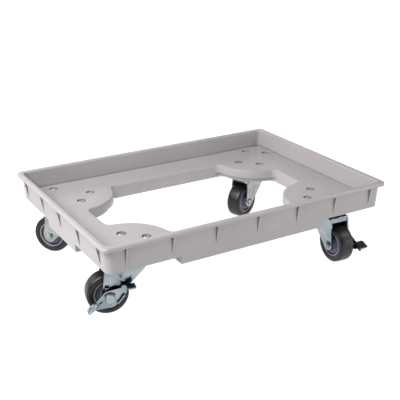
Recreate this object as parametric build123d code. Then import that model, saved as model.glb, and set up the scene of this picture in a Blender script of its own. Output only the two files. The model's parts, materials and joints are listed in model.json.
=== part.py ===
from build123d import *
import os
from math import radians, tan

# Dough box dolly: one moulded tray frame on four swivel plate casters, the front pair with side brakes.
# Millimetres, +X along the tray, +Y towards its back, +Z up, origin on the floor below the tray's middle.
# Each caster is drawn with its kingpin on the Z axis, its wheel trailing along +X, then turned into place.

# Tray frame
RIM_LENGTH = 698.0
RIM_WIDTH = 495.0
LIP_CORNER_RADIUS = 13.5
WALL_CORNER_RADIUS = 20.0
LIP_HEIGHT = 8.0
LIP_OVERHANG = 6.5
WALL_THICKNESS = 6.0
WALL_DRAFT = 4.0  # degrees that the walls lean in towards the bottom
RIM_EDGE_RADIUS = 4.5
RECESS_DEPTH = 44.0
RECESS_COVE_RADIUS = 1.0
DECK_THICKNESS = 5.0
CORNER_DEPTH = 59.0  # rim top to the lower edge at the corners
SIDE_DEPTH = 76.5  # rim top to the lower edge of the deep skirts, at the sides and round the opening
SKIRT_THICKNESS = 4.5
END_SHELF = 93.0  # rim's end to the opening's end, which is in line with the pads' middles
SIDE_SHELF = 94.5
LONG_SKIRT_GAP = 78.0  # pad's middle to the end of a long side's deep skirt
SHORT_SKIRT_GAP = 76.5
LOBE_RADIUS = 101.0
LOBE_OVERHANG = 11.0
LOBE_DEPTH = 64.0  # rim top to the lower edge of the pads' overhang
OPENING_BLEND_RADIUS = 18.0
OPENING_EDGE_RADIUS = 3.0

# Ribs of the frame
GUSSET_THICKNESS = 3.5
GUSSET_DROP = 42.0
GUSSET_SETBACK = 1.0
GUSSET_END_GAP = 46.0  # rim's corner to the last gusset
LONG_GUSSET_COUNT = 7
SHORT_GUSSET_COUNT = 5
RIB_THICKNESS = 3.5
RIB_DEPTH = 18.0
LONG_RIB_COUNT = 3

# Bolts that hold each caster
BOLT_SPACING_LONG = 93.0
BOLT_SPACING_SHORT = 54.5
PLATE_TURN = 45.0  # degrees between the plate's long side and the tray's length
PLATE_SHIFT = 6.0  # kingpin to the middle of the plate and its bolts, towards the tray's corner
BOLT_DIAMETER = 8.0
BOLT_HOLE_CLEARANCE = 0.25
BOLT_HEAD_DIAMETER = 15.0
BOLT_HEAD_HEIGHT = 4.4
BOLT_HEAD_ROUND = 2.5
BOLT_SOCKET_WIDTH = 5.0
BOLT_SOCKET_DEPTH = 2.6
BOLT_RECESS_DIAMETER = 21.0
BOLT_RECESS_DEPTH = 5.5
BOLT_END = 2.0  # thread standing out of the nut
BOSS_DIAMETER = 27.0
PAD_HUB_DIAMETER = 40.0
NUT_WIDTH = 13.0
NUT_HEIGHT = 6.5

# Caster plate and swivel
PLATE_LENGTH = 114.0
PLATE_WIDTH = 80.0
PLATE_THICKNESS = 3.5
PLATE_CORNER_RADIUS = 8.0
RACE_CUP_HEIGHT = 3.0
KINGPIN_DIAMETER = 12.0
KINGPIN_HEAD_DIAMETER = 20.0
KINGPIN_HEAD_HEIGHT = 5.0
KINGPIN_RIVET_DIAMETER = 18.0
KINGPIN_RIVET_HEIGHT = 2.0
UPPER_BALL_DIAMETER = 6.35
UPPER_RACE_DIAMETER = 44.0
UPPER_GROOVE_DEPTH = 2.0
UPPER_BALL_COUNT = 18
LOWER_BALL_DIAMETER = 4.76
LOWER_RACE_DIAMETER = 28.0
LOWER_GROOVE_DEPTH = 1.5
LOWER_BALL_COUNT = 14
LOWER_WASHER_DIAMETER = 40.0
LOWER_WASHER_THICKNESS = 4.0

# Fork
FORK_SHEET = 3.5
FORK_WIDTH = 50.0
FORK_BEND_RADIUS = 7.0
CROWN_DROP = 20.0  # caster plate's top to the crown's upper face
CROWN_GAP = 18.5  # tread to the crown's lower face
CROWN_FRONT = 52.5
CROWN_FRONT_ROUND = 5.0
CROWN_SIDE_HEIGHT = 13.0
FRONT_FLANGE_HEIGHT = 14.0
DOME_DIAMETER = 58.0
DOME_ROUND = 2.5
LEG_END_RADIUS = 14.5
TRAIL = 47.0

# Wheel and axle
WHEEL_DIAMETER = 89.0
WHEEL_WIDTH = 36.0
TREAD_CROWN = 1.2
TREAD_SHOULDER_RADIUS = 5.5
TREAD_SIDE_RISE = 3.0  # how far above the core the tread reaches its full width
CORE_DIAMETER = 60.0
CORE_WIDTH = 32.0
CORE_RIM_THICKNESS = 3.0
CORE_GROOVE_WIDTH = 3.5
CORE_GROOVE_DEPTH = 6.0
CORE_DISH = 2.0  # the web's face below the rim's face
CORE_EDGE_RADIUS = 0.6
HUB_DIAMETER = 27.0
HUB_FLARE = 3.0
HUB_END_GAP = 0.5
AXLE_DIAMETER = 8.0
SLEEVE_DIAMETER = 12.0
BUSH_DIAMETER = 17.0
AXLE_HEAD_HEIGHT = 4.5
AXLE_NUT_HEIGHT = 5.0
AXLE_END = 1.0

# Side brake
CAM_DIAMETER = 30.0
CAM_THICKNESS = 6.0
CAM_SHEET = 3.0
CAM_EAR_WIDTH = 8.0
CAM_EAR_TOP = 21.5
CAM_EAR_OFFSET = 4.0
EAR_HOLE_HEIGHT = 8.0
EAR_CLEARANCE = 0.3
LEVER_SHEET = 3.0
LEVER_GAP = 0.3
LEVER_BOSS_DIAMETER = 35.0
LEVER_BOSS_DROP = 3.0
LEVER_ARM_DIAMETER = 17.0
LEVER_ARM_LENGTH = 29.0
LEVER_ARM_RISE = 3.0
LEVER_STRIP_HEIGHT = 9.0
LEVER_FLANGE_START = 10.0
LEVER_FLANGE_END = 30.0
LEVER_FLANGE_REACH = 5.0
BOSS_SLOT_RADIUS = 13.2
BOSS_SLOT_WIDTH = 3.6
BOSS_SLOT_START = 60.0
BOSS_SLOT_SWEEP = 100.0
ARM_SLOT_LENGTH = 12.0
ARM_SLOT_WIDTH = 3.2
ARM_SLOT_OFFSET = 21.0
TRAILING_TAB_START = 29.0
TRAILING_TAB_RAISE = 6.0
TRAILING_TAB_LENGTH = 23.0
LEADING_TAB_START = 40.0
LEADING_TAB_RAISE = 13.0
LEADING_TAB_LENGTH = 18.0
TAB_REACH = 21.0
TAB_DROOP = 17.0  # degrees that each tab slopes down towards its end
TAB_CORNER_RADIUS = 4.0
BRAKE_HEAD_DIAMETER = 19.0
BRAKE_HEAD_HEIGHT = 3.5
BRAKE_HEAD_ROUND = 1.0
LEVER_FREE_ANGLE = 2.0  # degrees that the trailing tab points down
LEVER_TRAVEL = 18.0

# Fits, as gaps on each side
RUNNING_CLEARANCE = 0.05
BALL_CLEARANCE = 0.03
SEAT_CLEARANCE = 0.02
LEVEL_TOLERANCE = 0.01  # for picking edges at a height

# Plan of the tray
OPENING_LENGTH = RIM_LENGTH - 2 * END_SHELF
OPENING_WIDTH = RIM_WIDTH - 2 * SIDE_SHELF
LONG_SKIRT_LENGTH = OPENING_LENGTH - 2 * LONG_SKIRT_GAP
SHORT_SKIRT_LENGTH = OPENING_WIDTH - 2 * SHORT_SKIRT_GAP
LONG_GUSSET_PITCH = (RIM_LENGTH - 2 * GUSSET_END_GAP) / (LONG_GUSSET_COUNT - 1)
SHORT_GUSSET_PITCH = (RIM_WIDTH - 2 * GUSSET_END_GAP) / (SHORT_GUSSET_COUNT - 1)

# Heights, from the floor up
AXLE_HEIGHT = WHEEL_DIAMETER / 2
CROWN_LOW = WHEEL_DIAMETER + CROWN_GAP
CROWN_TOP = CROWN_LOW + FORK_SHEET
PLATE_TOP = CROWN_TOP + CROWN_DROP
CORNER_LOW = PLATE_TOP
RIM_TOP = CORNER_LOW + CORNER_DEPTH
LIP_LOW = RIM_TOP - LIP_HEIGHT
DECK_TOP = RIM_TOP - RECESS_DEPTH
DECK_LOW = DECK_TOP - DECK_THICKNESS
SIDE_LOW = RIM_TOP - SIDE_DEPTH
LOBE_LOW = RIM_TOP - LOBE_DEPTH
HEAD_SEAT = DECK_TOP - BOLT_RECESS_DEPTH
PLATE_LOW = PLATE_TOP - PLATE_THICKNESS
CUP_LOW = PLATE_LOW - RACE_CUP_HEIGHT
UPPER_BALL_Z = CUP_LOW + UPPER_GROOVE_DEPTH - UPPER_BALL_DIAMETER / 2
DOME_TOP = UPPER_BALL_Z - UPPER_BALL_DIAMETER / 2 + UPPER_GROOVE_DEPTH
DOME_LOW = DOME_TOP - FORK_SHEET
LOWER_BALL_Z = DOME_LOW + LOWER_GROOVE_DEPTH - LOWER_BALL_DIAMETER / 2
WASHER_TOP = LOWER_BALL_Z - LOWER_BALL_DIAMETER / 2 + LOWER_GROOVE_DEPTH
WASHER_LOW = WASHER_TOP - LOWER_WASHER_THICKNESS

# Distances from a caster's middle plane
LEG_OUT = FORK_WIDTH / 2
LEG_IN = LEG_OUT - FORK_SHEET
HUB_END = LEG_IN - HUB_END_GAP
CAM_OUT = LEG_OUT + CAM_THICKNESS
LEVER_IN = CAM_OUT + LEVER_GAP
LEVER_OUT = LEVER_IN + LEVER_SHEET
BRAKE_SEAT = LEVER_OUT + LEVER_GAP

# Corner, heading of the trailing wheel in degrees from +X, and how far down the brake lever's tab points
LEVER_LOCKED_ANGLE = LEVER_FREE_ANGLE + LEVER_TRAVEL
CASTERS = {
    "front_left": (-1, -1, 167.0, LEVER_LOCKED_ANGLE),
    "front_right": (1, -1, 267.0, LEVER_FREE_ANGLE),
    "rear_left": (-1, 1, 131.0, None),
    "rear_right": (1, 1, 203.0, None),
}
CORNERS = [(x_side, y_side) for x_side, y_side, _, _ in CASTERS.values()]


def upright(outline, low, high):
    """Solid that stands on a flat outline, between two heights."""
    return extrude(Pos(0, 0, low) * outline, amount=high - low)


def sideways(outline, low, high):
    """Solid from an outline drawn along the caster and up, between two distances from its middle plane."""
    return extrude(Plane.XZ.offset(-high) * outline, amount=high - low)


def drum(diameter, low, high):
    """Round solid on the vertical axis."""
    return upright(Circle(diameter / 2), low, high)


def roller(diameter, low, high):
    """Round solid that lies across the caster."""
    return sideways(Circle(diameter / 2), low, high)


def hexagon(width):
    """Outline of a nut or a socket, given across its flats."""
    return RegularPolygon(width / 2, 6, major_radius=False)


def span(low, high, bottom, top):
    """Rectangle between two places along the first axis and two along the second."""
    return Pos((low + high) / 2, (bottom + top) / 2) * Rectangle(high - low, top - bottom)


def hull(*outlines):
    """Outline that a tight band round the given outlines would take."""
    return make_hull([edge for outline in outlines for edge in outline.edges()])


def edges_at(shape, height):
    """Edges that lie flat at one height."""
    return shape.edges().filter_by_position(Axis.Z, height - LEVEL_TOLERANCE, height + LEVEL_TOLERANCE)


def pad_place(x_side, y_side):
    """Middle of a corner pad, which is a corner of the opening."""
    return Pos(x_side * OPENING_LENGTH / 2, y_side * OPENING_WIDTH / 2)


def plate_place(x_side, y_side):
    """Corner pad, turned so that the caster plate's long side points at the tray's corner."""
    half_turn = 0 if x_side > 0 else 180
    return pad_place(x_side, y_side) * Rot(0, 0, half_turn + PLATE_TURN * x_side * y_side)


def bolt_grid():
    """The four bolts of one caster plate."""
    spots = GridLocations(BOLT_SPACING_LONG, BOLT_SPACING_SHORT, 2, 2)
    return [Pos(PLATE_SHIFT, 0) * spot for spot in spots]


def wall_lean(height):
    """How far the walls have come in from the rim at a height."""
    return (RIM_TOP - height) * tan(radians(WALL_DRAFT))


def wall_outline(inset, height):
    """The wall's outer face at a height, drawn in by an inset."""
    spread = LIP_OVERHANG + inset + wall_lean(height)
    return RectangleRounded(RIM_LENGTH - 2 * spread, RIM_WIDTH - 2 * spread, WALL_CORNER_RADIUS - inset)


def drafted(inset, low):
    """Block from the rim's top down to a height, whose sides lean in like the walls."""
    outline = Pos(0, 0, RIM_TOP) * wall_outline(inset, RIM_TOP)
    return extrude(outline, amount=RIM_TOP - low, dir=(0, 0, -1), taper=WALL_DRAFT)


def opening_outline(lobe_radius):
    """Open middle of the tray: a rectangle whose corners give way to the round pads."""
    outline = Rectangle(OPENING_LENGTH, OPENING_WIDTH)
    for x_side, y_side in CORNERS:
        outline -= pad_place(x_side, y_side) * Circle(lobe_radius)
    return fillet(outline.vertices(), OPENING_BLEND_RADIUS)


def lower_opening():
    """The opening under the pads' overhang, where the skirt round it stands further back."""
    return opening_outline(LOBE_RADIUS - LOBE_OVERHANG)


def tray_shell():
    """Rim, walls and deck with the open middle, still solid underneath."""
    shell = drafted(0, SIDE_LOW)
    shell += upright(RectangleRounded(RIM_LENGTH, RIM_WIDTH, LIP_CORNER_RADIUS), LIP_LOW, RIM_TOP)
    recess = drafted(WALL_THICKNESS, DECK_TOP)
    shell -= fillet(edges_at(recess, DECK_TOP), RECESS_COVE_RADIUS)
    shell = fillet(edges_at(shell, RIM_TOP), RIM_EDGE_RADIUS)
    shell -= upright(opening_outline(LOBE_RADIUS), SIDE_LOW, DECK_TOP)
    brink = [
        edge
        for edge in edges_at(shell, DECK_TOP)
        if abs(edge.center().X) <= OPENING_LENGTH / 2 + LEVEL_TOLERANCE
        and abs(edge.center().Y) <= OPENING_WIDTH / 2 + LEVEL_TOLERANCE
    ]
    return fillet(brink, OPENING_EDGE_RADIUS)


def side_bands(inset):
    """Strips across the middle of the long sides and of the short sides, where the skirts are deep."""
    long_sides = Rectangle(LONG_SKIRT_LENGTH - 2 * inset, RIM_WIDTH)
    short_sides = Rectangle(RIM_LENGTH, SHORT_SKIRT_LENGTH - 2 * inset)
    return long_sides + short_sides


def shelf_hollow():
    """Outline of the space under the deck, between the outer wall and the skirt round the opening."""
    return wall_outline(SKIRT_THICKNESS, SIDE_LOW) - offset(lower_opening(), SKIRT_THICKNESS)


def underside(shell):
    """Steps the lower edges and hollows the shelf, leaving an end wall at each step."""
    hollows = (shelf_hollow() - side_bands(0)) + (shelf_hollow() & side_bands(SKIRT_THICKNESS))
    for hollow in hollows.faces():
        shell -= upright(hollow, SIDE_LOW, DECK_LOW)
    shell -= upright(lower_opening(), SIDE_LOW, LOBE_LOW)
    corners = Rectangle(RIM_LENGTH, RIM_WIDTH) - side_bands(0) - offset(lower_opening(), SKIRT_THICKNESS)
    for corner in corners.faces():
        shell -= upright(corner, SIDE_LOW, CORNER_LOW)
    return shell


def cross_ribs():
    """Ribs across the hollow of each side, under the deck."""
    strips = [Rectangle(RIM_LENGTH, RIB_THICKNESS)]
    for step in range(LONG_RIB_COUNT):
        shift = (step - (LONG_RIB_COUNT - 1) / 2) * LONG_GUSSET_PITCH
        strips.append(Pos(shift, 0) * Rectangle(RIB_THICKNESS, RIM_WIDTH))
    hollow = shelf_hollow() & side_bands(SKIRT_THICKNESS)
    return [upright(strip & hollow, DECK_LOW - RIB_DEPTH, DECK_LOW) for strip in strips]


def pad_webs(x_side, y_side):
    """Bolt bosses of one corner pad and the ribs that tie them, level with the corner's lower edge."""
    webs = Rectangle(BOLT_SPACING_LONG + RIB_THICKNESS, BOLT_SPACING_SHORT + RIB_THICKNESS)
    webs -= Rectangle(BOLT_SPACING_LONG - RIB_THICKNESS, BOLT_SPACING_SHORT - RIB_THICKNESS)
    webs = Pos(PLATE_SHIFT, 0) * webs
    webs += Rectangle(2 * LOBE_RADIUS, RIB_THICKNESS)
    webs += Rectangle(RIB_THICKNESS, 2 * LOBE_RADIUS)
    webs += Circle(PAD_HUB_DIAMETER / 2)
    for spot in bolt_grid():
        webs += spot * Circle(BOSS_DIAMETER / 2)
    hollow = shelf_hollow() - side_bands(0)
    return upright(plate_place(x_side, y_side) * webs & hollow, CORNER_LOW, DECK_LOW)


def gusset(half_span):
    """Tapered rib under the lip of a side that lies this far from the tray's middle."""
    toe = LIP_LOW - GUSSET_DROP
    root = half_span - LIP_OVERHANG
    bury = WALL_THICKNESS / 2
    profile = Polygon(
        (root - wall_lean(LIP_LOW) - bury, LIP_LOW),
        (half_span - GUSSET_SETBACK, LIP_LOW),
        (root - wall_lean(toe), toe),
        (root - wall_lean(toe) - bury, toe),
        align=None,
    )
    return sideways(profile, -GUSSET_THICKNESS / 2, GUSSET_THICKNESS / 2)


def gussets():
    """Ribs along all four sides, evenly spread from the middle of each."""
    long_sides = (90, RIM_WIDTH / 2, LONG_GUSSET_COUNT, LONG_GUSSET_PITCH)
    short_sides = (0, RIM_LENGTH / 2, SHORT_GUSSET_COUNT, SHORT_GUSSET_PITCH)
    ribs = []
    for turn, half_span, count, pitch in (short_sides, long_sides):
        for side in (turn, turn + 180):
            for step in range(count):
                shift = (step - (count - 1) / 2) * pitch
                ribs.append(Rot(0, 0, side) * Pos(0, shift, 0) * gusset(half_span))
    return ribs


def moulded_frame():
    """The whole moulding: shell, ribs, bosses and bolt holes."""
    frame = underside(tray_shell())
    frame += gussets() + cross_ribs() + [pad_webs(*corner) for corner in CORNERS]
    hole = drum(BOLT_DIAMETER + 2 * BOLT_HOLE_CLEARANCE, CORNER_LOW, DECK_TOP)
    hole += drum(BOLT_RECESS_DIAMETER, HEAD_SEAT, DECK_TOP)
    return frame - [plate_place(*corner) * spot * hole for corner in CORNERS for spot in bolt_grid()]


def plate_bolt():
    """Button head bolt with a hexagon socket, its head sunk below the deck."""
    head_top = HEAD_SEAT + BOLT_HEAD_HEIGHT
    head = drum(BOLT_HEAD_DIAMETER, HEAD_SEAT, head_top)
    head = fillet(edges_at(head, head_top), BOLT_HEAD_ROUND)
    head -= upright(hexagon(BOLT_SOCKET_WIDTH), head_top - BOLT_SOCKET_DEPTH, head_top)
    return head + drum(BOLT_DIAMETER, PLATE_LOW - NUT_HEIGHT - BOLT_END, HEAD_SEAT)


def plate_nut():
    """Nut that clamps the caster plate to the frame."""
    nut = upright(hexagon(NUT_WIDTH), PLATE_LOW - NUT_HEIGHT, PLATE_LOW)
    return nut - drum(BOLT_DIAMETER + 2 * SEAT_CLEARANCE, PLATE_LOW - NUT_HEIGHT, PLATE_LOW)


def race_groove(race_diameter, ball_diameter, height):
    """Ring-shaped track for a row of balls."""
    return Pos(0, 0, height) * Torus(race_diameter / 2, ball_diameter / 2 + BALL_CLEARANCE)


def upper_groove():
    return race_groove(UPPER_RACE_DIAMETER, UPPER_BALL_DIAMETER, UPPER_BALL_Z)


def lower_groove():
    return race_groove(LOWER_RACE_DIAMETER, LOWER_BALL_DIAMETER, LOWER_BALL_Z)


def ball_row(race_diameter, ball_diameter, height, count):
    """Row of loose balls in its track."""
    spots = PolarLocations(race_diameter / 2, count)
    return [Pos(0, 0, height) * spot * Sphere(ball_diameter / 2) for spot in spots]


def swivel_balls():
    """Upper row under the plate and lower row under the fork's dome."""
    upper = ball_row(UPPER_RACE_DIAMETER, UPPER_BALL_DIAMETER, UPPER_BALL_Z, UPPER_BALL_COUNT)
    return upper + ball_row(LOWER_RACE_DIAMETER, LOWER_BALL_DIAMETER, LOWER_BALL_Z, LOWER_BALL_COUNT)


def top_plate():
    """Bolted plate with the upper ball race and a riveted hole for the kingpin."""
    outline = Pos(PLATE_SHIFT, 0) * RectangleRounded(PLATE_LENGTH, PLATE_WIDTH, PLATE_CORNER_RADIUS)
    plate = upright(outline, PLATE_LOW, PLATE_TOP)
    plate += drum(DOME_DIAMETER, CUP_LOW, PLATE_LOW)
    plate -= upper_groove()
    plate -= drum(KINGPIN_DIAMETER + 2 * SEAT_CLEARANCE, CUP_LOW, PLATE_TOP)
    plate -= drum(KINGPIN_RIVET_DIAMETER + 2 * SEAT_CLEARANCE, PLATE_TOP - KINGPIN_RIVET_HEIGHT, PLATE_TOP)
    hole = drum(BOLT_DIAMETER + 2 * BOLT_HOLE_CLEARANCE, PLATE_LOW, PLATE_TOP)
    return plate - [spot * hole for spot in bolt_grid()]


def kingpin():
    """Headed pin, riveted over in the plate's upper face."""
    pin = drum(KINGPIN_DIAMETER, WASHER_LOW, PLATE_TOP)
    pin += drum(KINGPIN_RIVET_DIAMETER, PLATE_TOP - KINGPIN_RIVET_HEIGHT, PLATE_TOP)
    return pin + drum(KINGPIN_HEAD_DIAMETER, WASHER_LOW - KINGPIN_HEAD_HEIGHT, WASHER_LOW)


def lower_race():
    """Grooved washer on the kingpin's head, which carries the lower row of balls."""
    washer = drum(LOWER_WASHER_DIAMETER, WASHER_LOW, WASHER_TOP) - lower_groove()
    return washer - drum(KINGPIN_DIAMETER + 2 * SEAT_CLEARANCE, WASHER_LOW, WASHER_TOP)


def ear_hole():
    """Square hole in the braked leg, drawn from the axle, that keeps the brake cam from turning."""
    low = CAM_EAR_TOP - CAM_SHEET - EAR_CLEARANCE
    half = CAM_EAR_WIDTH / 2 + EAR_CLEARANCE
    return span(CAM_EAR_OFFSET - half, CAM_EAR_OFFSET + half, low, low + EAR_HOLE_HEIGHT)


def fork(braked):
    """Pressed fork: a crown with a front flange, a ball race dome and two tapered legs."""
    dome_radius = DOME_DIAMETER / 2
    skirt_low = CROWN_TOP - CROWN_SIDE_HEIGHT
    crown_side = span(-dome_radius, CROWN_FRONT, skirt_low, CROWN_TOP)
    side_view = hull(crown_side, Pos(TRAIL, AXLE_HEIGHT) * Circle(LEG_END_RADIUS))
    front_corner = side_view.vertices().sort_by(Axis.Y).sort_by(Axis.X)
    front_corner = [corner for corner in front_corner if corner.Y > skirt_low and corner.X > 0]
    side_view = fillet(front_corner, CROWN_FRONT_ROUND)
    outside = RectangleRounded(FORK_WIDTH, 2 * CROWN_TOP, FORK_BEND_RADIUS)
    inside = RectangleRounded(FORK_WIDTH - 2 * FORK_SHEET, 2 * CROWN_LOW, FORK_BEND_RADIUS - FORK_SHEET)
    along = Plane.YZ.offset(-dome_radius)
    length = dome_radius + TRAIL + LEG_END_RADIUS
    block = extrude(along * outside, amount=length)
    body = block - extrude(along * inside, amount=length)
    flange_low = CROWN_TOP - FRONT_FLANGE_HEIGHT
    flange = span(CROWN_FRONT - FORK_SHEET, CROWN_FRONT, flange_low, CROWN_TOP)
    body += block & sideways(flange, -LEG_OUT, LEG_OUT)
    body &= sideways(side_view, -LEG_OUT, LEG_OUT)
    dome = drum(DOME_DIAMETER, CROWN_LOW, DOME_TOP)
    body += fillet(edges_at(dome, DOME_TOP), DOME_ROUND)
    body -= drum(DOME_DIAMETER - 2 * FORK_SHEET, CROWN_LOW, DOME_LOW)
    body -= drum(KINGPIN_DIAMETER + 2 * RUNNING_CLEARANCE, DOME_LOW, DOME_TOP)
    body -= upper_groove() + lower_groove()
    axle_place = Pos(TRAIL, 0, AXLE_HEIGHT)
    body -= axle_place * roller(AXLE_DIAMETER + 2 * SEAT_CLEARANCE, -LEG_OUT, LEG_OUT)
    if braked:
        body -= axle_place * sideways(ear_hole(), LEG_IN, LEG_OUT)
    return body


def axle_bolt(braked):
    """Hexagon bolt, or on a braked fork a bolt whose flat round head keeps the lever on."""
    if braked:
        head_out = BRAKE_SEAT + BRAKE_HEAD_HEIGHT
        head = roller(BRAKE_HEAD_DIAMETER, BRAKE_SEAT, head_out)
        head = fillet(head.edges().sort_by(Axis.Y)[-1], BRAKE_HEAD_ROUND)
        return head + roller(AXLE_DIAMETER, -LEG_OUT - AXLE_NUT_HEIGHT - AXLE_END, BRAKE_SEAT)
    head = sideways(hexagon(NUT_WIDTH), -LEG_OUT - AXLE_HEAD_HEIGHT, -LEG_OUT)
    return head + roller(AXLE_DIAMETER, -LEG_OUT, LEG_OUT + AXLE_NUT_HEIGHT + AXLE_END)


def axle_nut(braked):
    """Lock nut against the leg, on the side away from the bolt's head."""
    low, high = (-LEG_OUT - AXLE_NUT_HEIGHT, -LEG_OUT) if braked else (LEG_OUT, LEG_OUT + AXLE_NUT_HEIGHT)
    return sideways(hexagon(NUT_WIDTH), low, high) - roller(AXLE_DIAMETER + 2 * SEAT_CLEARANCE, low, high)


def axle_sleeve():
    """Steel tube that the axle bolt clamps between the legs."""
    bore = roller(AXLE_DIAMETER + 2 * SEAT_CLEARANCE, -LEG_IN, LEG_IN)
    return roller(SLEEVE_DIAMETER, -LEG_IN, LEG_IN) - bore


def hub_bush():
    """Plain bearing in the wheel's hub, turning on the sleeve."""
    bush = roller(BUSH_DIAMETER, -HUB_END, HUB_END)
    return bush - roller(SLEEVE_DIAMETER + 2 * RUNNING_CLEARANCE, -HUB_END, HUB_END)


def both_sides(points):
    """Closed profile of a wheel piece from the points of one half, given as radius and distance."""
    return Polygon(*points, *[(radius, -side) for radius, side in reversed(points)], align=None)


def wheel_core():
    """Moulded centre: hub, shallow web, ring groove and the rim that the tread grips."""
    rim_face = CORE_WIDTH / 2
    web_face = rim_face - CORE_DISH
    groove_floor = rim_face - CORE_GROOVE_DEPTH
    rim_inside = CORE_DIAMETER / 2 - CORE_RIM_THICKNESS
    web_edge = rim_inside - CORE_GROOVE_WIDTH
    profile = both_sides(
        [
            (BUSH_DIAMETER / 2 + SEAT_CLEARANCE, HUB_END),
            (HUB_DIAMETER / 2, HUB_END),
            (HUB_DIAMETER / 2 + HUB_FLARE, web_face),
            (web_edge, web_face),
            (web_edge, groove_floor),
            (rim_inside, groove_floor),
            (rim_inside, rim_face),
            (CORE_DIAMETER / 2, rim_face),
        ]
    )
    return revolve(fillet(profile.vertices(), CORE_EDGE_RADIUS), Axis.Y)


def wheel_tread():
    """Crowned tread, bonded to the core's rim."""
    seat = CORE_DIAMETER / 2 + SEAT_CLEARANCE
    shoulder = WHEEL_DIAMETER / 2 - TREAD_CROWN
    half = WHEEL_WIDTH / 2
    crown = ThreePointArc((shoulder, -half), (WHEEL_DIAMETER / 2, 0), (shoulder, half))
    sides = Polyline(
        (shoulder, half),
        (seat + TREAD_SIDE_RISE, half),
        (seat, CORE_WIDTH / 2),
        (seat, -CORE_WIDTH / 2),
        (seat + TREAD_SIDE_RISE, -half),
        (shoulder, -half),
    )
    profile = make_face(crown + sides)
    corners = [corner for corner in profile.vertices() if abs(corner.X - shoulder) < LEVEL_TOLERANCE]
    return revolve(fillet(corners, TREAD_SHOULDER_RADIUS), Axis.Y)


def brake_cam():
    """Fixed washer between leg and lever, with an ear bent into the leg's square hole."""
    left = CAM_EAR_OFFSET - CAM_EAR_WIDTH / 2
    right = CAM_EAR_OFFSET + CAM_EAR_WIDTH / 2
    cam = roller(CAM_DIAMETER, LEG_OUT, CAM_OUT)
    cam += sideways(span(left, right, 0, CAM_EAR_TOP), LEG_OUT, LEG_OUT + CAM_SHEET)
    cam += sideways(span(left, right, CAM_EAR_TOP - CAM_SHEET, CAM_EAR_TOP), LEG_IN, LEG_OUT)
    return cam - roller(AXLE_DIAMETER + 2 * SEAT_CLEARANCE, LEG_OUT, CAM_OUT)


def foot_tab(length):
    """Flat tab for the foot, bent outwards from its strip of the lever's plate, drooping towards +X."""
    outline = span(0, length, LEVER_IN, LEVER_IN + TAB_REACH)
    outline = fillet(outline.vertices().group_by(Axis.Y)[-1], TAB_CORNER_RADIUS)
    strip = span(-LEVER_STRIP_HEIGHT, length, -LEVER_STRIP_HEIGHT, 0)
    return Rot(0, TAB_DROOP, 0) * (upright(outline, -LEVER_SHEET, 0) + sideways(strip, LEVER_IN, LEVER_OUT))


def brake_lever():
    """Stamped lever on the axle, with a drooping foot tab at each end, drawn with its arms level."""
    boss = Circle(LEVER_BOSS_DIAMETER / 2)
    arm = Circle(LEVER_ARM_DIAMETER / 2)
    trailing_arm = Pos(LEVER_ARM_LENGTH, -LEVER_ARM_RISE) * arm
    leading_arm = Pos(-LEVER_ARM_LENGTH, LEVER_ARM_RISE) * arm
    plate = hull(boss, Pos(0, -LEVER_BOSS_DROP) * boss, trailing_arm, leading_arm)
    edge = plate - offset(plate, -LEVER_SHEET)
    edge &= span(-LEVER_FLANGE_END, -LEVER_FLANGE_START, -LEVER_BOSS_DIAMETER, 0)
    plate -= Circle(AXLE_DIAMETER / 2 + RUNNING_CLEARANCE)
    plate -= SlotArc(CenterArc((0, 0), BOSS_SLOT_RADIUS, BOSS_SLOT_START, BOSS_SLOT_SWEEP), BOSS_SLOT_WIDTH)
    slot_shape = Rot(0, 0, -TAB_DROOP) * SlotOverall(ARM_SLOT_LENGTH, ARM_SLOT_WIDTH)
    arm_slot = Pos(ARM_SLOT_OFFSET, 0) * slot_shape
    lever = sideways(plate, LEVER_IN, LEVER_OUT) + sideways(edge, LEVER_IN, LEVER_OUT + LEVER_FLANGE_REACH)
    lever += Pos(TRAILING_TAB_START, 0, TRAILING_TAB_RAISE) * foot_tab(TRAILING_TAB_LENGTH)
    lever -= sideways(arm_slot, LEVER_IN, LEVER_OUT)
    leading_tab = mirror(foot_tab(LEADING_TAB_LENGTH), Plane.YZ)
    return lever + Pos(-LEADING_TAB_START, 0, LEADING_TAB_RAISE) * leading_tab


def caster(x_side, y_side, heading, lever_angle):
    """All pieces of one caster in place, by name."""
    braked = lever_angle is not None
    fixed = plate_place(x_side, y_side)
    swivel = pad_place(x_side, y_side) * Rot(0, 0, heading)
    axle = swivel * Pos(TRAIL, 0, AXLE_HEIGHT)
    pieces = {
        "plate_bolts": Compound([fixed * spot * plate_bolt() for spot in bolt_grid()]),
        "plate_nuts": Compound([fixed * spot * plate_nut() for spot in bolt_grid()]),
        "top_plate": fixed * top_plate(),
        "kingpin": fixed * kingpin(),
        "lower_race": fixed * lower_race(),
        "swivel_balls": Compound([fixed * ball for ball in swivel_balls()]),
        "fork": swivel * fork(braked),
        "axle_bolt": axle * axle_bolt(braked),
        "axle_nut": axle * axle_nut(braked),
        "axle_sleeve": axle * axle_sleeve(),
        "hub_bush": axle * hub_bush(),
        "wheel_core": axle * wheel_core(),
        "wheel_tread": axle * wheel_tread(),
    }
    if braked:
        pieces["brake_cam"] = axle * brake_cam()
        pieces["brake_lever"] = axle * Rot(0, lever_angle, 0) * brake_lever()
    return pieces


def main():
    nodes = {"moulded_frame": moulded_frame()}
    for corner, details in CASTERS.items():
        for piece, shape in caster(*details).items():
            nodes[f"{corner}_{piece}"] = shape
    os.makedirs("parts", exist_ok=True)
    for node, shape in nodes.items():
        export_step(shape, f"parts/{node}.step")
    print(len(nodes), "nodes written")


main()
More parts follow.
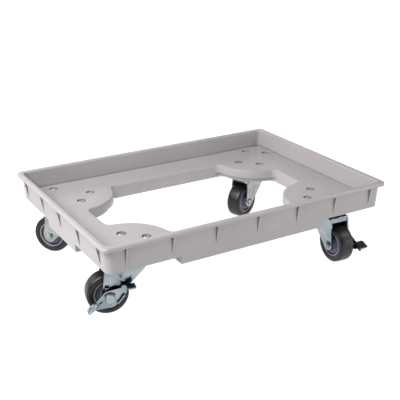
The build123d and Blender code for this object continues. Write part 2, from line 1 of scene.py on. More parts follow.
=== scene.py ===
# %% [markdown]
# # Dough box dolly
# This lesson dresses a finished CAD model. The dolly is one light grey plastic moulding, shaped like a tray
# with an open middle, on four swivel casters of bright zinc-plated steel. The CAD solids already have every
# size and place, so Blender adds what a camera sees: rounded edges, moulded wheels, real finishes, light
# and a view.

# %% Load the CAD model
import json
from math import cos, pi, radians, sin

import bmesh
import bpy
from mathutils import Matrix, Vector


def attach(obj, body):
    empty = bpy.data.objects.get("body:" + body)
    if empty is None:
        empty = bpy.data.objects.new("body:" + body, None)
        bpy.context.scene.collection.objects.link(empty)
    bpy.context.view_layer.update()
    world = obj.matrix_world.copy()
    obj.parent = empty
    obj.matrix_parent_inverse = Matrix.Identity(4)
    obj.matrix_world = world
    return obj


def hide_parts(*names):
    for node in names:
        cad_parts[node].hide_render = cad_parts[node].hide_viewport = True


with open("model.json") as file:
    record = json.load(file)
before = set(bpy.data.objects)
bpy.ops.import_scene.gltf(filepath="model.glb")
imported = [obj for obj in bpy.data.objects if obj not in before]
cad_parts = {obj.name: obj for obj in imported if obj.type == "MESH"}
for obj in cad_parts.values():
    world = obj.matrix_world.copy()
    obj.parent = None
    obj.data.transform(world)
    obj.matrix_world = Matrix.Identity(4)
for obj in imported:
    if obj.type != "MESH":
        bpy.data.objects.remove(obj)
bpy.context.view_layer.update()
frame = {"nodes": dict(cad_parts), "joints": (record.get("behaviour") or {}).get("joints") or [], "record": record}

# %% [markdown]
# Each CAD node belongs to a body that moves, and to a material slot. Both can be read from the packed
# record, so that a new piece can be hung on the same body as the node it stands for. The casters' axes come
# from the joints: a swivel turns about the kingpin and a wheel turns about its axle.

# %% Look up bodies, slots and axes
body_of = {node: body for body, nodes in frame["record"]["behaviour"]["bodies"].items() for node in nodes}
slot_of = {part["node"]: part["material_slot"] for part in frame["record"]["subparts"]}
joints = {joint["name"]: joint for joint in frame["joints"]}
corners = ["front_left", "front_right", "rear_left", "rear_right"]
braked_corners = ["front_left", "front_right"]
for corner in corners:
    print(corner, "axle at", joints[f"{corner}_wheel_roll"]["pos_m"])

# %% [markdown]
# Materials are built from nodes. One small function adds any node, sets its properties and fills its
# sockets, and gives a colour ramp its stops. Colours are written as the hex values that a colour picker
# shows, and a second function turns them into the linear values that the renderer works with. A pattern's
# scale is easier to judge as a size in millimetres, so a third turns that into a texture scale: Object
# coordinates are in metres.

# %% Helpers for materials
MM = 0.001
BLACK = (0, 0, 0, 1)
WHITE = (1, 1, 1, 1)
NOOK_SAMPLES = 8


def linear(hex_colour):
    """Linear colour with alpha from an sRGB hex value."""
    parts = [int(hex_colour[start:start + 2], 16) / 255 for start in (1, 3, 5)]
    return [part / 12.92 if part <= 0.04045 else ((part + 0.055) / 1.055) ** 2.4 for part in parts] + [1.0]


def per_metre(size_mm):
    """Texture scale of a pattern whose features are this many millimetres apart."""
    return 1 / (size_mm * MM)


def add(tree, kind, sockets, stops=(), **settings):
    """Adds a node: its properties, its sockets filled by values or other sockets, and a ramp's stops."""
    node = tree.nodes.new("ShaderNode" + kind)
    for name, value in settings.items():
        setattr(node, name, value)
    for name, value in sockets.items():
        if isinstance(value, bpy.types.NodeSocket):
            tree.links.new(value, node.inputs[name])
        else:
            node.inputs[name].default_value = value
    if stops:
        elements = node.color_ramp.elements
        while len(elements) < len(stops):
            elements.new(0.5)
        for element, (position, colour) in zip(elements, stops):
            element.position = position
            element.color = colour
    return node


def new_material(name):
    """Material with an empty node tree, and the Object coordinates that its patterns read."""
    material = bpy.data.materials.new(name)
    material.use_nodes = True
    tree = material.node_tree
    tree.nodes.clear()
    return material, tree, add(tree, "TexCoord", {}).outputs["Object"]


print("half grey on a screen is", round(linear("#808080")[0], 3), "in linear light")

# %% [markdown]
# ** The tray's plastic** is polypropylene, injection moulded in a tool with a fine spark-eroded grain. To
# the eye that is a warm light grey with a soft sheen. The grain breaks up reflections, the wide flat walls
# are never quite flat, and boxes that slide in and out leave faint straight scuffs on the shelf and along
# the rim. Corners, creases and the wall under the lip get painted shade: an Ambient Occlusion node finds
# those places and mixes in a dark grey. The deepest ones, the recesses of the bolts, get less painted shade,
# so the ramp turns paler again at its low end.

# %% Polypropylene, moulded, light grey
GRAIN_MM = 1.4  # the real grain is about 0.3 mm; drawn coarser so that it shows
GRAIN_DEPTH_MM = 0.12
MOTTLE_MM = 150
WARP_MM = 70
WARP_DEPTH_MM = 4
SCUFF_LENGTH_MM = 60
SCUFF_WIDTH_MM = 1.6  # real scuffs are finer; drawn wider so that they show
SCUFF_TURN = radians(8)
TRAY_SHADE_REACH_MM = 9
RECESS_GREY = (0.7, 0.7, 0.7, 1)

tray_plastic, tree, place = new_material("polypropylene_moulded_light_grey")
grain = add(tree, "TexNoise", {"Vector": place, "Scale": per_metre(GRAIN_MM), "Detail": 2.0})
warp = add(tree, "TexNoise", {"Vector": place, "Scale": per_metre(WARP_MM), "Detail": 1.0})
mottle = add(tree, "TexNoise", {"Vector": place, "Scale": per_metre(MOTTLE_MM), "Detail": 3.0})
along = add(tree, "Mapping", {
    "Vector": place, "Rotation": (0, 0, SCUFF_TURN),
    "Scale": (per_metre(SCUFF_LENGTH_MM), per_metre(SCUFF_WIDTH_MM), per_metre(SCUFF_WIDTH_MM)),
})
scuff = add(tree, "TexNoise", {"Vector": along.outputs["Vector"], "Scale": 1.0, "Detail": 2.0})
scuffed = add(tree, "ValToRGB", {"Fac": scuff.outputs["Fac"]}, stops=[(0.62, BLACK), (0.74, WHITE)])
base = add(tree, "ValToRGB", {"Fac": mottle.outputs["Fac"]}, stops=[
    (0.3, linear("#A19C9D")), (0.7, linear("#A7A2A3")),
])
worn = add(tree, "Mix", {
    "Factor": scuffed.outputs["Color"], "A": base.outputs["Color"], "B": linear("#B4B0B0"),
}, data_type="RGBA")
# Painted shade: the AO darkens corners, creases and the wall under the lip towards a dark grey, less so in the
# deep bolt recesses.
nook = add(
    tree, "AmbientOcclusion", {"Distance": TRAY_SHADE_REACH_MM * MM}, samples=NOOK_SAMPLES, only_local=True,
)
unshaded_share = add(tree, "ValToRGB", {"Fac": nook.outputs["AO"]}, stops=[
    (0.3, RECESS_GREY), (0.5, BLACK), (0.8, WHITE),
])
with_painted_shade = add(tree, "Mix", {
    "Factor": unshaded_share.outputs["Color"], "A": linear("#5E5858"), "B": worn.outputs["Result"],
}, data_type="RGBA")
gloss = add(tree, "MapRange", {"Value": grain.outputs["Fac"], "To Min": 0.28, "To Max": 0.42})
bent = add(tree, "Bump", {"Height": warp.outputs["Fac"], "Strength": 0.22, "Distance": WARP_DEPTH_MM * MM})
rough = add(tree, "Bump", {
    "Height": grain.outputs["Fac"], "Strength": 0.18, "Distance": GRAIN_DEPTH_MM * MM,
    "Normal": bent.outputs["Normal"],
})
skin = add(tree, "BsdfPrincipled", {
    "Base Color": with_painted_shade.outputs["Result"], "Roughness": gloss.outputs["Result"], "IOR": 1.49,
    "Normal": rough.outputs["Normal"],
})
add(tree, "OutputMaterial", {"Surface": skin.outputs["BSDF"]})
print("made", tray_plastic.name)

# %% [markdown]
# ** The casters' sheet steel** is pressed, then electroplated with zinc and given a clear blue-white
# passivation. Bright zinc reflects like a soft mirror with a cool tint, which clouds a little where the
# film is thicker. The front casters come from a bluer batch than the rear ones, and the Y coordinate tells
# which is which. The pressing leaves slow waves in the sheet, which bend the reflections, and handling
# leaves fine marks that only change the gloss. The nooks between fork, wheel and lever get painted shade
# and a painted dark reflection in a dark blue-grey, where an Ambient Occlusion node finds them. A metal
# keeps the default IOR, and its colour sits in the base colour.

# %% Steel, pressed and bright zinc plated
SHEET_WAVE_MM = 30
WAVE_DEPTH_MM = 7.0  # real waves are far shallower; drawn deeper so that they show
HANDLING_MM = 5
PASSIVATE_MM = 28
ZINC_SHADE_REACH_MM = 45
FRONT_BATCH_Y = -0.1
REAR_BATCH_Y = 0.1

pressed_zinc, tree, place = new_material("steel_pressed_bright_zinc_plated")
wave = add(tree, "TexNoise", {"Vector": place, "Scale": per_metre(SHEET_WAVE_MM), "Detail": 1.0})
marks = add(tree, "TexNoise", {
    "Vector": place, "Scale": per_metre(HANDLING_MM), "Detail": 5.0, "Roughness": 0.65,
})
film = add(tree, "TexNoise", {"Vector": place, "Scale": per_metre(PASSIVATE_MM), "Detail": 2.0})
bluer = add(tree, "ValToRGB", {"Fac": film.outputs["Fac"]}, stops=[
    (0.34, linear("#87949C")), (0.66, linear("#A3A9AD")),
])
greyer = add(tree, "ValToRGB", {"Fac": film.outputs["Fac"]}, stops=[
    (0.34, linear("#969695")), (0.66, linear("#AFAFAC")),
])
axes = add(tree, "SeparateXYZ", {"Vector": place})
position_split = add(tree, "MapRange", {
    "Value": axes.outputs["Y"], "From Min": FRONT_BATCH_Y, "From Max": REAR_BATCH_Y,
})
tint = add(tree, "Mix", {
    "Factor": position_split.outputs["Result"], "A": bluer.outputs["Color"], "B": greyer.outputs["Color"],
}, data_type="RGBA")
# Painted shade and dark reflection: the AO darkens the nooks between fork, wheel and lever to a dark blue-grey.
nook = add(tree, "AmbientOcclusion", {"Distance": ZINC_SHADE_REACH_MM * MM}, samples=NOOK_SAMPLES)
unshaded_share = add(tree, "ValToRGB", {"Fac": nook.outputs["AO"]}, stops=[(0.42, BLACK), (0.88, WHITE)])
zinc_with_painted_shade = add(tree, "Mix", {
    "Factor": unshaded_share.outputs["Color"], "A": linear("#2B363D"), "B": tint.outputs["Result"],
}, data_type="RGBA")
gloss = add(tree, "MapRange", {"Value": marks.outputs["Fac"], "To Min": 0.12, "To Max": 0.3})
waved = add(tree, "Bump", {"Height": wave.outputs["Fac"], "Strength": 1.0, "Distance": WAVE_DEPTH_MM * MM})
skin = add(tree, "BsdfPrincipled", {
    "Base Color": zinc_with_painted_shade.outputs["Result"], "Roughness": gloss.outputs["Result"], "Metallic": 1.0,
    "Normal": waved.outputs["Normal"],
})
add(tree, "OutputMaterial", {"Surface": skin.outputs["BSDF"]})
print("made", pressed_zinc.name)

# %% [markdown]
# **Bolts and nuts** are cold headed and turned, then zinc plated in a barrel with thousands of others.
# Tumbling dulls the plating, so they look rougher than the pressings, with small dark dents. The bolts in
# the pads are painted paler than the axle bolts, a painted reflection of the bright light that their heads
# catch. The axle bolts lie lower, so the height above the floor tells one from the other.

# %% Steel, cold headed and barrel plated
DENT_MM = 2.2
DENT_DEPTH_MM = 0.15
AXLE_BOLTS_BELOW = 0.08
PAD_BOLTS_ABOVE = 0.09

headed_zinc, tree, place = new_material("steel_cold_headed_zinc_plated")
dents = add(tree, "TexNoise", {"Vector": place, "Scale": per_metre(DENT_MM), "Detail": 3.0})
bluer = add(tree, "ValToRGB", {"Fac": dents.outputs["Fac"]}, stops=[
    (0.32, linear("#989FA4")), (0.55, linear("#B2B9BE")),
])
painted_paler = add(tree, "ValToRGB", {"Fac": dents.outputs["Fac"]}, stops=[
    (0.32, linear("#BBBEC0")), (0.55, linear("#D3D5D6")),
])
# Painted reflection: the bolts higher up, in the pads, are painted paler than the axle bolts.
axes = add(tree, "SeparateXYZ", {"Vector": place})
position_split = add(tree, "MapRange", {
    "Value": axes.outputs["Z"], "From Min": AXLE_BOLTS_BELOW, "From Max": PAD_BOLTS_ABOVE,
})
tint = add(tree, "Mix", {
    "Factor": position_split.outputs["Result"], "A": bluer.outputs["Color"], "B": painted_paler.outputs["Color"],
}, data_type="RGBA")
gloss = add(tree, "MapRange", {"Value": dents.outputs["Fac"], "To Min": 0.62, "To Max": 0.46})
dented = add(tree, "Bump", {
    "Height": dents.outputs["Fac"], "Strength": 0.3, "Distance": DENT_DEPTH_MM * MM,
})
skin = add(tree, "BsdfPrincipled", {
    "Base Color": tint.outputs["Result"], "Roughness": gloss.outputs["Result"], "Metallic": 1.0,
    "Normal": dented.outputs["Normal"],
})
add(tree, "OutputMaterial", {"Surface": skin.outputs["BSDF"]})
print("made", headed_zinc.name)

# %% [markdown]
# **The bearing balls** sit between the races, where only a gleam of them shows. They are ground and
# polished, with a thin smear of grease that dulls them in patches.

# %% Steel, ground and polished
GREASE_MM = 3

ball_steel, tree, place = new_material("bearing_steel_ground_and_greased")
grease = add(tree, "TexNoise", {"Vector": place, "Scale": per_metre(GREASE_MM), "Detail": 2.0})
tint = add(tree, "ValToRGB", {"Fac": grease.outputs["Fac"]}, stops=[
    (0.4, linear("#C9CBCC")), (0.6, linear("#A79F8A")),
])
gloss = add(tree, "MapRange", {"Value": grease.outputs["Fac"], "To Min": 0.08, "To Max": 0.4})
skin = add(tree, "BsdfPrincipled", {
    "Base Color": tint.outputs["Color"], "Roughness": gloss.outputs["Result"], "Metallic": 1.0,
})
add(tree, "OutputMaterial", {"Surface": skin.outputs["BSDF"]})
print("made", ball_steel.name)

# %% [markdown]
# **The hub bushes** are moulded in natural acetal, an unpigmented off-white bearing plastic with a waxy
# sheen.

# %% Acetal, moulded, natural
WAX_MM = 4

bush_plastic, tree, place = new_material("acetal_moulded_natural")
wax = add(tree, "TexNoise", {"Vector": place, "Scale": per_metre(WAX_MM), "Detail": 2.0})
tint = add(tree, "ValToRGB", {"Fac": wax.outputs["Fac"]}, stops=[
    (0.35, linear("#C9C5B8")), (0.65, linear("#D6D2C6")),
])
gloss = add(tree, "MapRange", {"Value": wax.outputs["Fac"], "To Min": 0.3, "To Max": 0.42})
skin = add(tree, "BsdfPrincipled", {
    "Base Color": tint.outputs["Color"], "Roughness": gloss.outputs["Result"], "IOR": 1.48,
})
add(tree, "OutputMaterial", {"Surface": skin.outputs["BSDF"]})
print("made", bush_plastic.name)

# %% [markdown]
# ** The wheel centres** are nylon, moulded in a dark blue-grey. Nylon comes out of a polished tool with a
# soft shine, and flour dust settles as a pale film on the faces. The end of the rim is painted pale, a
# painted highlight of the light that its edge catches. Where that is, the wheel's own mesh says: its
# vertices carry a value that marks it.

# %% Nylon, moulded, dark blue-grey
FLOUR_MM = 7
POLISH_MM = 1.8
POLISH_DEPTH_MM = 0.1

centre_nylon, tree, place = new_material("nylon_moulded_dark_blue_grey")
flour = add(tree, "TexNoise", {"Vector": place, "Scale": per_metre(FLOUR_MM), "Detail": 4.0})
polish = add(tree, "TexNoise", {"Vector": place, "Scale": per_metre(POLISH_MM), "Detail": 2.0})
tint = add(tree, "ValToRGB", {"Fac": flour.outputs["Fac"]}, stops=[
    (0.35, linear("#45445A")), (0.75, linear("#5A596C")),
])
# Painted highlight: where the mesh marks the rim's end, the colour is mixed towards a pale grey.
pale_rim_highlight = add(tree, "Attribute", {}, attribute_name="pale_rim_highlight")
paler = add(tree, "Mix", {
    "Factor": pale_rim_highlight.outputs["Fac"], "A": tint.outputs["Color"], "B": linear("#83828E"),
}, data_type="RGBA")
gloss = add(tree, "MapRange", {"Value": flour.outputs["Fac"], "To Min": 0.28, "To Max": 0.46})
rough = add(tree, "Bump", {
    "Height": polish.outputs["Fac"], "Strength": 0.12, "Distance": POLISH_DEPTH_MM * MM,
})
skin = add(tree, "BsdfPrincipled", {
    "Base Color": paler.outputs["Result"], "Roughness": gloss.outputs["Result"], "IOR": 1.53,
    "Normal": rough.outputs["Normal"],
})
add(tree, "OutputMaterial", {"Surface": skin.outputs["BSDF"]})
print("made", centre_nylon.name)

# %% [markdown]
# **The treads** are black thermoplastic rubber, moulded on to the centres. Rubber is never quite black: to
# the eye it is a very dark grey with a wide soft highlight. Rolling wears a fine matt grain into it and
# leaves paler smudges.

# %% Rubber, moulded, black
SMUDGE_MM = 14
WEAR_MM = 1.2  # real wear is finer; drawn coarser so that it shows
WEAR_DEPTH_MM = 0.12

tread_rubber, tree, place = new_material("rubber_moulded_black")
smudge = add(tree, "TexNoise", {"Vector": place, "Scale": per_metre(SMUDGE_MM), "Detail": 4.0})
wear = add(tree, "TexNoise", {"Vector": place, "Scale": per_metre(WEAR_MM), "Detail": 2.0})
tint = add(tree, "ValToRGB", {"Fac": smudge.outputs["Fac"]}, stops=[
    (0.35, linear("#0B090B")), (0.75, linear("#141114")),
])
gloss = add(tree, "MapRange", {"Value": smudge.outputs["Fac"], "To Min": 0.34, "To Max": 0.46})
rough = add(tree, "Bump", {"Height": wear.outputs["Fac"], "Strength": 0.2, "Distance": WEAR_DEPTH_MM * MM})
skin = add(tree, "BsdfPrincipled", {
    "Base Color": tint.outputs["Color"], "Roughness": gloss.outputs["Result"], "IOR": 1.48,
    "Normal": rough.outputs["Normal"],
})
add(tree, "OutputMaterial", {"Surface": skin.outputs["BSDF"]})
print("made", tread_rubber.name)

# %% [markdown]
# Now the finishes meet the slots. Every CAD node gets its finish first, so that the pieces which stay as
# they are, deep inside the casters, are dressed too: races, kingpins, sleeves, bushes and balls.

# %% Dress every CAD node
finish_of = {
    "frame_plastic": tray_plastic, "zinc_steel": pressed_zinc, "zinc_bolts": headed_zinc,
    "ball_steel": ball_steel, "bush_plastic": bush_plastic, "core_plastic": centre_nylon,
    "tread_rubber": tread_rubber,
}
for node, cad_object in frame["nodes"].items():
    cad_object.data.materials.clear()
    cad_object.data.materials.append(finish_of[slot_of[node]])
print("dressed", len(frame["nodes"]), "nodes")

# %% [markdown]
# A CAD edge is perfectly sharp, and a sharp edge never catches light. Moulded and pressed parts always have
# a small radius. The simplest way to get one is to copy the node's mesh, weld its loose triangles, dissolve
# the flat ones into whole faces and let a Bevel modifier round what is still sharp. Hardened normals keep
# the flat faces flat.

# %% Piece makers
WELD = 0.002 * MM
FLAT = radians(0.4)
SHARP_DEGREES = 32
SHARP = radians(SHARP_DEGREES)
BEVEL_SEGMENTS = 2


def finished_piece(shape, name, node):
    """Object from a bmesh, which rides with a CAD node's body, takes its finish and stands for it."""
    mesh = bpy.data.meshes.new(name)
    for face in shape.faces:
        face.smooth = True
    shape.to_mesh(mesh)
    shape.free()
    mesh.set_sharp_from_angle(angle=SHARP)
    mesh.materials.append(finish_of[slot_of[node]])
    piece = bpy.data.objects.new(name, mesh)
    bpy.context.scene.collection.objects.link(piece)
    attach(piece, body_of[node])
    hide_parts(node)
    return piece


def round_edges(piece, radius_mm):
    """Rounds a piece's sharp edges with a live Bevel modifier."""
    bevel = piece.modifiers.new("rounded_edges", "BEVEL")
    bevel.width = radius_mm * MM
    bevel.segments = BEVEL_SEGMENTS
    bevel.limit_method = "ANGLE"
    bevel.angle_limit = SHARP
    bevel.harden_normals = True
    return piece


def rounded_copy(node, name, radius_mm):
    """Copy of a CAD node with welded triangles and rounded edges."""
    shape = bmesh.new()
    shape.from_mesh(frame["nodes"][node].data)
    bmesh.ops.remove_doubles(shape, verts=shape.verts, dist=WELD)
    bmesh.ops.dissolve_limit(shape, angle_limit=FLAT, verts=shape.verts, edges=shape.edges)
    return round_edges(finished_piece(shape, name, node), radius_mm)


print("edges sharper than", SHARP_DEGREES, "degrees get rounded")

# %% [markdown]
# **The tray** is one moulding: rim, lip, gusset ribs, shelf, open middle and the hollows underneath. Its
# big radii are in the CAD model. The copy only adds the small radius that a mould maker leaves on every
# corner.

# %% Tray
TRAY_EDGE_MM = 0.6

tray = rounded_copy("moulded_frame", "tray_moulding", TRAY_EDGE_MM)
print("tray faces:", len(tray.data.polygons))

# %% [markdown]
# **The pressings** are cut from sheet: forks, top plates, brake levers and the fixed washers under the
# levers. A punch leaves one rolled edge and one sharp one. A small bevel on both is close enough at this
# size.

# %% Forks, plates and levers
SHEET_EDGE_MM = 0.7

pressing_names = {"fork": "fork_pressing", "top_plate": "plate_pressing"}
brake_names = {"brake_lever": "lever_pressing", "brake_cam": "cam_pressing"}
for corner in corners:
    names = pressing_names | brake_names if corner in braked_corners else pressing_names
    for part, name in names.items():
        rounded_copy(f"{corner}_{part}", f"{corner}_{name}", SHEET_EDGE_MM)
print("pressings made for", len(corners), "casters")

# %% [markdown]
# **Bolts** have rolled threads inside the nuts and formed heads outside. Only the heads show, so the copies
# just get soft edges, and so do the nuts under the plates.

# %% Plate bolts, plate nuts and axle bolts
BOLT_EDGE_MM = 0.4

bolt_names = {"plate_bolts": "pad_bolts", "plate_nuts": "pad_nuts", "axle_bolt": "axle_pin"}
for corner in corners:
    for part, name in bolt_names.items():
        rounded_copy(f"{corner}_{part}", f"{corner}_{name}", BOLT_EDGE_MM)
print("bolts made for", len(corners), "casters")

# %% [markdown]
# **The wheels** are bodies of revolution, so each is drawn as half a cross-section and spun about the axle.
# The axle's place and direction come from the wheel's joint. Points are given in millimetres, as a radius
# and a distance from the wheel's middle. A second function finds the hoops that the points turn into, for
# the steps that work on an edge.

# %% Spin a cross-section about an axle
WHEEL_STEPS = 96
HOOP_TOLERANCE = 0.05


def spun(corner, points):
    """Ring with this cross-section, closed by its mirror image, about a caster's axle."""
    joint = joints[f"{corner}_wheel_roll"]
    centre, axis, up = Vector(joint["pos_m"]), Vector(joint["axis"]), Vector((0, 0, 1))
    outline = points + [(radius, -side) for radius, side in reversed(points) if side > 0]
    shape = bmesh.new()
    ends = [shape.verts.new(centre + (up * radius + axis * side) * MM) for radius, side in outline]
    for first, second in zip(ends, ends[1:] + ends[:1]):
        shape.edges.new((first, second))
    bmesh.ops.spin(
        shape, geom=shape.verts[:] + shape.edges[:], cent=centre, axis=axis, angle=2 * pi,
        steps=WHEEL_STEPS, use_merge=True, use_duplicate=False,
    )
    bmesh.ops.remove_doubles(shape, verts=shape.verts, dist=WELD)
    bmesh.ops.recalc_face_normals(shape, faces=shape.faces)
    return shape, centre, axis


def hoops(shape, centre, axis, radius, side):
    """Edges that run round the wheel at this radius and distance from its middle, on both sides."""
    found = []
    for edge in shape.edges:
        offsets = [vertex.co - centre for vertex in edge.verts]
        off_side = [abs(abs(offset.dot(axis)) / MM - side) for offset in offsets]
        off_radius = [abs((offset - axis * offset.dot(axis)).length / MM - radius) for offset in offsets]
        if max(off_side + off_radius) < HOOP_TOLERANCE:
            found.append(edge)
    return found


print("wheels are spun in", WHEEL_STEPS, "steps")

# %% [markdown]
# **The tread** is slightly crowned, so that it rolls on its middle, with round shoulders. The cross-section
# starts as a few straight lines. Bevelling the hoops at the shoulders, the crown and the inner edge gives
# the curves. The wheels stand on the floor, so the axle's height is the tread's radius.

# %% Treads
TREAD_RADIUS = joints["front_left_wheel_roll"]["pos_m"][2] / MM
TREAD_HALF_WIDTH = 18.0
SHOULDER_RADIUS = 43.3
SEAT_RADIUS = 30.05
SEAT_HALF_WIDTH = 16.0
INNER_EDGE_RADIUS = 33.05
SHOULDER_BEVEL = 5.5
CROWN_BEVEL = 9.0
INNER_EDGE_BEVEL = 1.0

tread_outline = [
    (SEAT_RADIUS, SEAT_HALF_WIDTH), (INNER_EDGE_RADIUS, TREAD_HALF_WIDTH),
    (SHOULDER_RADIUS, TREAD_HALF_WIDTH), (TREAD_RADIUS, 0),
]
tread_curves = [
    # radius and side of a hoop, width of its bevel and segments in it
    (SHOULDER_RADIUS, TREAD_HALF_WIDTH, SHOULDER_BEVEL, 6),
    (TREAD_RADIUS, 0, CROWN_BEVEL, 6),
    (INNER_EDGE_RADIUS, TREAD_HALF_WIDTH, INNER_EDGE_BEVEL, 2),
]
for corner in corners:
    tyre, centre, axis = spun(corner, tread_outline)
    for radius, side, width, segments in tread_curves:
        bmesh.ops.bevel(
            tyre, geom=hoops(tyre, centre, axis, radius, side), offset=width * MM, offset_type="OFFSET",
            affect="EDGES", segments=segments, profile=0.5, material=-1, clamp_overlap=True,
        )
    piece = finished_piece(tyre, f"{corner}_tyre", f"{corner}_wheel_tread")
print("tread faces:", len(piece.data.polygons))

# %% [markdown]
# ** The wheel centre** has a hub, a shallow web and, inside its rim, a deep ring groove that shows as a dark
# circle with a pale rim round it, the rim painted paler as a painted highlight. It is spun like the tread.
# The hoops at the rim's end get the value that the nylon reads for its painted highlight, and a Bevel
# modifier rounds the edges.

# %% Wheel centres
BORE_RADIUS = 8.55
HUB_RADIUS = 13.5
HUB_END = 21.0
WEB_START_RADIUS = 16.5
WEB_FACE = 14.0
GROOVE_INNER_RADIUS = 23.5
GROOVE_OUTER_RADIUS = 27.0
GROOVE_FLOOR = 10.0
RIM_RADIUS = 30.0
CENTRE_EDGE_MM = 0.6

centre_outline = [
    (BORE_RADIUS, HUB_END), (HUB_RADIUS, HUB_END), (WEB_START_RADIUS, WEB_FACE),
    (GROOVE_INNER_RADIUS, WEB_FACE), (GROOVE_INNER_RADIUS, GROOVE_FLOOR),
    (GROOVE_OUTER_RADIUS, GROOVE_FLOOR), (GROOVE_OUTER_RADIUS, SEAT_HALF_WIDTH),
    (RIM_RADIUS, SEAT_HALF_WIDTH),
]
for corner in corners:
    wheel_centre, centre, axis = spun(corner, centre_outline)
    # Painted highlight: the hoops at the rim's end are marked, and the nylon paints them paler.
    pale_rim_highlight = wheel_centre.verts.layers.float.new("pale_rim_highlight")
    for radius in (GROOVE_OUTER_RADIUS, RIM_RADIUS):
        for edge in hoops(wheel_centre, centre, axis, radius, SEAT_HALF_WIDTH):
            for vertex in edge.verts:
                vertex[pale_rim_highlight] = 1.0
    piece = finished_piece(wheel_centre, f"{corner}_wheel_centre", f"{corner}_wheel_core")
    round_edges(piece, CENTRE_EDGE_MM)
print("wheel centre faces:", len(piece.data.polygons))

# %% [markdown]
# **The lock nuts** on the axle bolts are hexagons with a narrower collar that grips the thread. A six-sided
# circle is extruded, its end is inset and extruded again for the collar, and once more inwards for the
# bolt's hole. Each nut sits on the outside of a fork leg: on a braked caster that is the leg without the
# lever.

# %% Axle nuts
NUT_ACROSS_FLATS = 13.0
NUT_HEIGHT = 5.0
COLLAR_HEIGHT = 1.5
COLLAR_STEP = 1.3
COLLAR_WALL = 1.3
LEG_OUTSIDE = 25.0
HALF_SIXTH = pi / 6

corner_radius = NUT_ACROSS_FLATS / cos(HALF_SIXTH) / 2
flat_on_top = Matrix.Rotation(HALF_SIXTH, 4, "Z")
nut_steps = [(0, NUT_HEIGHT - COLLAR_HEIGHT), (COLLAR_STEP, COLLAR_HEIGHT), (COLLAR_WALL, -COLLAR_HEIGHT)]
for corner in corners:
    joint = joints[f"{corner}_wheel_roll"]
    outwards = Vector(joint["axis"]) * (-1 if corner in braked_corners else 1)
    seat = Vector(joint["pos_m"]) + outwards * LEG_OUTSIDE * MM
    nut = bmesh.new()
    bmesh.ops.create_circle(nut, cap_ends=True, segments=6, radius=corner_radius * MM, matrix=flat_on_top)
    for inset, rise in nut_steps:
        top = max(nut.faces, key=lambda face: face.calc_center_median().z)
        if inset:
            bmesh.ops.inset_individual(nut, faces=[top], thickness=inset * MM, use_even_offset=True)
        raised = bmesh.ops.extrude_face_region(nut, geom=[top])
        bmesh.ops.delete(nut, geom=[top], context="FACES_ONLY")
        moved = [item for item in raised["geom"] if isinstance(item, bmesh.types.BMVert)]
        bmesh.ops.translate(nut, verts=moved, vec=(0, 0, rise * MM))
    bmesh.ops.recalc_face_normals(nut, faces=nut.faces)
    turn = outwards.to_track_quat("Z", "Y").to_matrix().to_4x4()
    bmesh.ops.transform(nut, matrix=Matrix.Translation(seat) @ turn, verts=nut.verts)
    round_edges(finished_piece(nut, f"{corner}_lock_nut", f"{corner}_axle_nut"), BOLT_EDGE_MM)
print("nuts made:", len(corners))

# %% [markdown]
# **The studio's floor** is a sheet of opal acrylic, lit from below so that it stays white and swallows most
# of the shadow. The light from below is an emission on the material. What the acrylic reflects comes on top
# of that, so its own colour is only a mid grey.

# %% Floor
FLOOR_SIZE = 30.0
FLOOR_CELLS = 4
FROST_MM = 3  # real frosting is finer; drawn coarser so that it shows
GLOW = 1.0

opal, tree, place = new_material("acrylic_cast_opal_white")
frost = add(tree, "TexNoise", {"Vector": place, "Scale": per_metre(FROST_MM), "Detail": 2.0})
tint = add(tree, "ValToRGB", {"Fac": frost.outputs["Fac"]}, stops=[
    (0.3, linear("#686868")), (0.7, linear("#6E6E6E")),
])
skin = add(tree, "BsdfPrincipled", {
    "Base Color": tint.outputs["Color"], "Roughness": 0.9, "Emission Color": WHITE,
    "Emission Strength": GLOW,
})
add(tree, "OutputMaterial", {"Surface": skin.outputs["BSDF"]})
sheet = bmesh.new()
bmesh.ops.create_grid(sheet, x_segments=FLOOR_CELLS, y_segments=FLOOR_CELLS, size=FLOOR_SIZE / 2)
floor_mesh = bpy.data.meshes.new("floor")
sheet.to_mesh(floor_mesh)
sheet.free()
floor_mesh.materials.append(opal)
floor = bpy.data.objects.new("floor", floor_mesh)
bpy.context.scene.collection.objects.link(floor)
print("floor:", FLOOR_SIZE, "m wide")

# %% [markdown]
# **The lights** are soft rectangles that all face the tray. A large window on the left gives most of the
# light, with a weaker panel above it. A window at the back left and a wide screen behind brighten the rim
# and the far walls, and a window and a low card on the right fill the shadow side. The dim grey surround
# gives the zinc something darker to mirror.

# %% Lights
TRAY_MIDDLE = Vector((0, 0, 0.12))
SURROUND_STRENGTH = 0.1

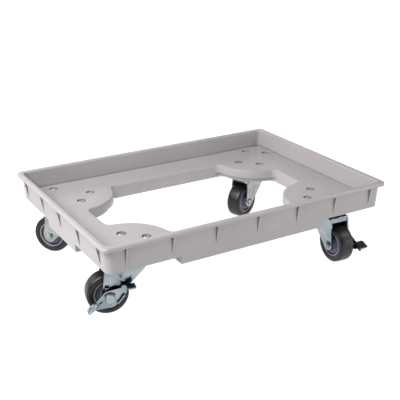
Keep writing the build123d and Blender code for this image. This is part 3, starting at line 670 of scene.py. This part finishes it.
soft_lights = {
    # name: place, width and height in metres, power in watts
    "window_left": ((-1.42, -0.3, 1.5), (1.3, 1.0), 50),
    "ceiling_left": ((-1.0, 0.1, 1.9), (1.2, 0.9), 9),
    "window_back": ((-1.5, 1.6, 1.2), (1.2, 1.0), 11),
    "screen_behind": ((0.4, 3.2, 1.3), (5.0, 1.4), 22),
    "window_right": ((1.5, -1.2, 1.6), (1.0, 0.8), 12),
    "card_right": ((1.2, -1.3, 0.35), (0.9, 0.5), 5),
}
for name, (spot, (width, height), power) in soft_lights.items():
    light = bpy.data.lights.new(name, "AREA")
    light.shape = "RECTANGLE"
    light.size, light.size_y, light.energy = width, height, power
    lamp = bpy.data.objects.new(name, light)
    lamp.location = spot
    lamp.rotation_euler = (TRAY_MIDDLE - lamp.location).to_track_quat("-Z", "Y").to_euler()
    bpy.context.scene.collection.objects.link(lamp)

world = bpy.data.worlds.new("grey_surround")
world.use_nodes = True
backdrop = world.node_tree.nodes["Background"]
backdrop.inputs["Color"].default_value = linear("#D8DADC")
backdrop.inputs["Strength"].default_value = SURROUND_STRENGTH
bpy.context.scene.world = world
bpy.context.scene.view_settings.view_transform = "Standard"
print("lights:", ", ".join(soft_lights))

# %% [markdown]
# **The camera** looks from the left of the front, a little over 20 degrees above the tray, with a lens of
# about 70 mm. Its place is worked out from the point it looks at, two angles and a distance, because those
# are easier to adjust than three coordinates.

# %% Camera
AZIMUTH = radians(-30.86)
ELEVATION = radians(21.93)
AIM = Vector((-0.0695, -0.1244, 0.190))
DISTANCE = 1.6506
SENSOR_MM = 36.0
LENS_MM = 69.79

back = Vector((sin(AZIMUTH) * cos(ELEVATION), -cos(AZIMUTH) * cos(ELEVATION), sin(ELEVATION)))
lens = bpy.data.cameras.new("camera")
lens.sensor_width = SENSOR_MM
lens.lens = LENS_MM
camera = bpy.data.objects.new("camera", lens)
camera.location = AIM + back * DISTANCE
camera.rotation_euler = back.to_track_quat("Z", "Y").to_euler()
bpy.context.scene.collection.objects.link(camera)
bpy.context.scene.camera = camera
print("camera at", [round(value, 3) for value in camera.location])
